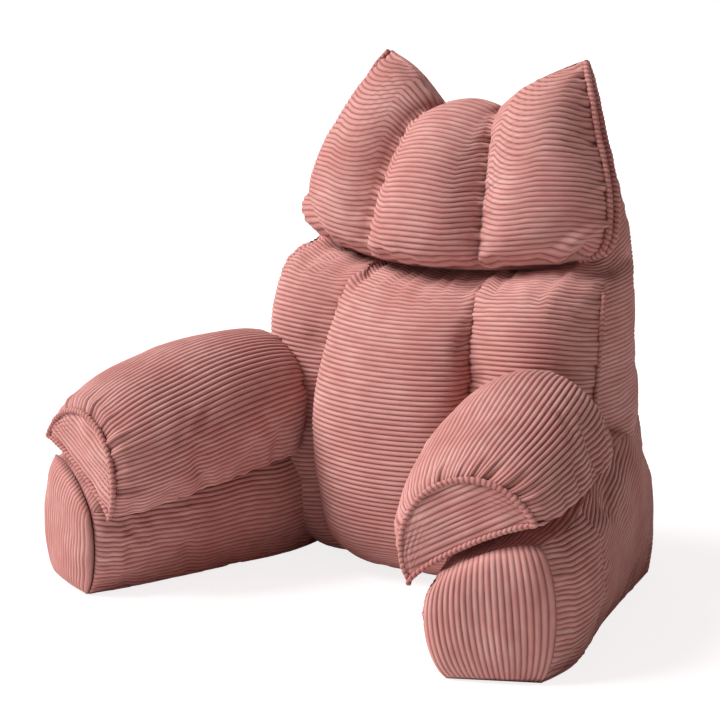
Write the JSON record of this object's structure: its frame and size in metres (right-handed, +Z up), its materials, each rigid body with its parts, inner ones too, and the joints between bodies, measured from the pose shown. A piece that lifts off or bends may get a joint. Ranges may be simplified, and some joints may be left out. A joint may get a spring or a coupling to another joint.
{
  "type": "reading pillow with arms",
  "caption": "Wide-wale corduroy reading pillow: channelled backrest, eared head pillow and two padded arms, resting flat on its underside.",
  "frame": {"origin": "centre of the footprint on the surface it rests on", "axes": "+Z up, the sitter faces -Y, the sitter's left is +X"},
  "size_m": [0.762, 0.5676, 0.6503],
  "materials": {
    "corduroy": "matt",
    "corduroy_seam": "matt"
  },
  "bodies": {
    "root": {"backrest": "corduroy", "head_pillow": "corduroy", "arm_base_left": "corduroy", "arm_base_right": "corduroy", "arm_pad_left": "corduroy", "arm_pad_right": "corduroy", "head_welt_front_left": "corduroy_seam", "head_welt_front_right": "corduroy_seam", "head_welt_rear_left": "corduroy_seam", "head_welt_rear_right": "corduroy_seam", "pad_welt_upper_left": "corduroy_seam", "pad_welt_upper_right": "corduroy_seam", "pad_welt_lower_left": "corduroy_seam", "pad_welt_lower_right": "corduroy_seam", "backrest_welt_left": "corduroy_seam", "backrest_welt_right": "corduroy_seam"}
  },
  "joints": []
}
